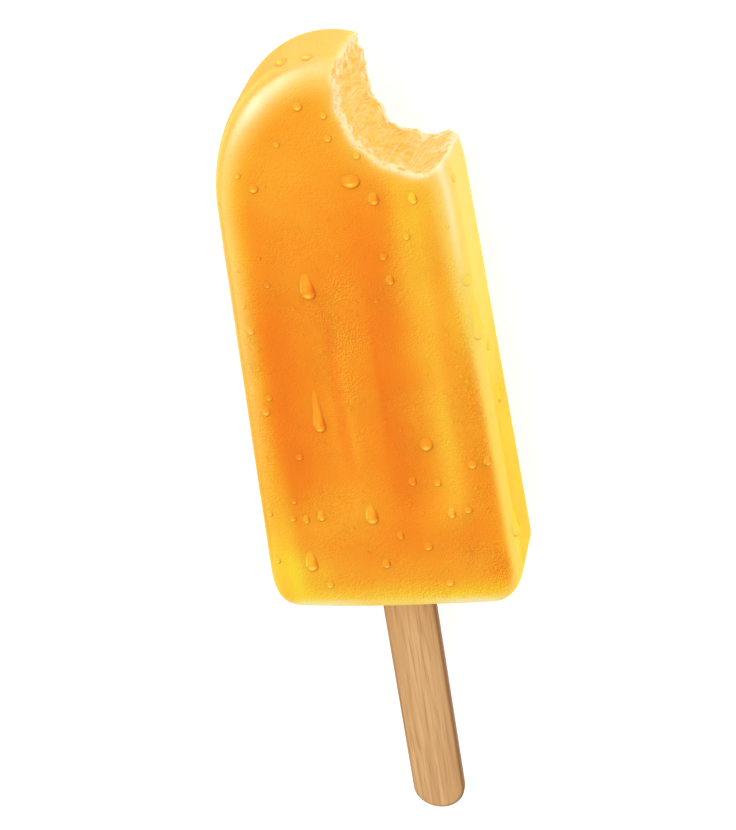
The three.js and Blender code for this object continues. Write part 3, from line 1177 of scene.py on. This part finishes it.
def bead_shape(sides):
    """A low round bead: a sunk foot, rings of (radius, height) and a top. Also gives its lens of painted
    light and shade.
    """
    turn = np.arange(sides) * 2 * math.pi / sides
    circle = np.stack([np.cos(turn), np.sin(turn)], axis=1)
    rings = [np.column_stack([circle * radius, np.full(sides, height)]) for radius, height in BEAD_RINGS]
    points = np.vstack(rings + [[[0, 0, 1.0]]])
    faces = [tuple(range(sides))[::-1]]
    for k in range(len(rings)):
        for i in range(sides):
            following = (i + 1) % sides
            low, high = k * sides, (k + 1) * sides
            if k + 1 < len(rings):
                faces.append((low + i, low + following, high + following, high + i))
            else:
                faces.append((low + i, low + following, high))
    foot = np.hypot(points[:, 0], points[:, 1])
    lit = smoothstep(-0.8 * points[:, 1] - 0.4 * points[:, 0], 0.1, 0.7) * (foot < 0.95)
    shaded = smoothstep(foot, 0.8, 0.98) * smoothstep(0.7 * points[:, 0] - 0.7 * points[:, 1], 0.1, 0.8)
    return points, faces, lit - shaded


def make_beads(name, material, ice, count, radii, seed, sides):
    spots, random = scatter(*ice, count, bead_weight, seed)
    radius = radii[0] + (radii[1] - radii[0]) * random.uniform(0, 1, count) ** 2.2
    shape, pattern, lens = bead_shape(sides)
    sizes = np.stack([
        radius * random.uniform(0.85, 1.15, count),
        radius * random.uniform(0.9, 1.3, count),
        radius * random.uniform(0.35, 0.55, count),
    ], axis=1)
    shapes = np.repeat(shape[None], count, axis=0)
    points, faces = join_copies(spots, local_frames(spots), sizes, shapes, pattern)
    masks = {mask: np.repeat(values, len(shape)) for mask, values in water_masks(spots).items()}
    masks["lens"] = 0.7 * np.tile(lens, count)
    new_piece(name, points, faces, material, "water", **masks)


def crumb_shape():
    """Points and faces of a twenty-sided lump of radius 1."""
    golden = (1 + 5 ** 0.5) / 2
    points = []
    for a, b in itertools.product((-1, 1), (-golden, golden)):
        points += [(0, a, b), (a, b, 0), (b, 0, a)]
    points = np.array(points, dtype=float)
    faces = []
    for triple in itertools.combinations(range(12), 3):
        p, q, r = points[list(triple)]
        sides = [np.linalg.norm(p - q), np.linalg.norm(q - r), np.linalg.norm(r - p)]
        if max(sides) < 2.1:
            outward = np.dot(np.cross(q - p, r - p), p) > 0
            faces.append(triple if outward else triple[::-1])
    return points / np.linalg.norm(points[0]), faces


def make_crumbs(material, ice, count, seed):
    spots, random = scatter(*ice, count, crumb_weight, seed)
    shape, pattern = crumb_shape()
    shapes = shape * random.uniform(0.7, 1.25, (count, len(shape), 1))
    size = 0.08 + 0.16 * random.uniform(0, 1, (count, 1)) ** 2
    sizes = size * random.uniform(0.7, 1.3, (count, 3))
    points, faces = join_copies(spots, local_frames(spots), sizes, shapes, pattern)
    new_piece("frost_crumbs", points, faces, material, "frost")


# ---- Studio

# The photograph's camera, in the mould's frame
CAMERA_AZIMUTH = math.radians(24.125)
CAMERA_ELEVATION = math.radians(57.893)
CAMERA_ROLL = math.radians(-9.401)
CAMERA_DISTANCE = 450.0
CAMERA_TARGET = np.array([-0.359, 38.596, 6.623])
CAMERA_LENS = 110.647

FLOOR_REACH = 3.0
WORLD_STRENGTH = 0.82
LIT_SPOT = Vector((0, 0.02, 0.01))

# Soft lamps: name, direction, distance, (width, height) in metres, and power in watts
LAMPS = [
    ("key", (-0.50, 0.45, 0.74), 0.7, (0.32, 0.32), 0.7),
    ("low_left", (-0.82, 0.50, 0.25), 0.35, (0.30, 0.06), 0.15),
    ("low_right", (1.0, -0.25, 0.0), 0.16, (0.20, 0.025), 0.014),
    ("sparkle", (-0.35, 0.45, 0.82), 0.7, (0.03, 0.03), 0.1),
    ("upper_right", (0.55, 0.62, 0.55), 0.6, (0.30, 0.30), 0.45),
]


def camera_axes():
    """Right, up and backward directions of the camera in the mould's frame."""
    flat = math.cos(CAMERA_ELEVATION)
    back = np.array([
        math.sin(CAMERA_AZIMUTH) * flat,
        math.cos(CAMERA_AZIMUTH) * flat,
        math.sin(CAMERA_ELEVATION),
    ])
    right = np.cross([0, 1, 0], back)
    right /= np.linalg.norm(right)
    up = np.cross(back, right)
    cosine, sine = math.cos(CAMERA_ROLL), math.sin(CAMERA_ROLL)
    return cosine * right + sine * up, cosine * up - sine * right, back


def make_camera():
    axes = camera_axes()
    matrix = np.eye(4)
    matrix[:3, :3] = TURN @ np.column_stack(axes)
    matrix[:3, 3] = placed(CAMERA_TARGET + CAMERA_DISTANCE * axes[2])
    data = bpy.data.cameras.new("camera")
    data.sensor_width = 36
    data.lens = CAMERA_LENS
    data.clip_start = 0.01
    camera = new_object("camera", data)
    camera.matrix_world = Matrix(matrix.tolist())
    bpy.context.scene.camera = camera


def make_floor():
    mesh = bpy.data.meshes.new("floor")
    corners = [(-1, -1), (1, -1), (1, 1), (-1, 1)]
    mesh.from_pydata([(x * FLOOR_REACH, y * FLOOR_REACH, 0) for x, y in corners], [], [(0, 1, 2, 3)])
    mesh.materials.append(floor_material())
    floor = new_object("floor", mesh)


def make_lamp(name, direction, distance, size, power):
    """A soft lamp that shines on the middle of the lolly from a direction."""
    data = bpy.data.lights.new(name, "AREA")
    data.shape = "RECTANGLE"
    data.size, data.size_y = size
    data.energy = power
    lamp = new_object(name, data)
    aim = Vector(direction).normalized()
    lamp.location = LIT_SPOT + aim * distance
    lamp.rotation_euler = aim.to_track_quat("Z", "Y").to_euler()
    lamp.visible_camera = False


def make_lights():
    world = bpy.data.worlds.new("studio")
    world.use_nodes = True
    background = world.node_tree.nodes["Background"]
    background.inputs["Color"].default_value = WHITE
    background.inputs["Strength"].default_value = WORLD_STRENGTH
    bpy.context.scene.world = world
    for lamp in LAMPS:
        make_lamp(*lamp)
    bpy.context.scene.view_settings.view_transform = "Standard"


make_camera()
make_floor()
make_lights()
ICE = make_ice(ice_material())
make_stick(wood_material())
WATER = water_material()
make_placed_drops(WATER)
make_beads("small_drops", WATER, ICE, count=170, radii=(0.22, 0.42), seed=51, sides=14)
make_beads("bead_frost", WATER, ICE, count=3200, radii=(0.1, 0.2), seed=52, sides=6)
make_crumbs(frost_material(), ICE, count=220, seed=53)
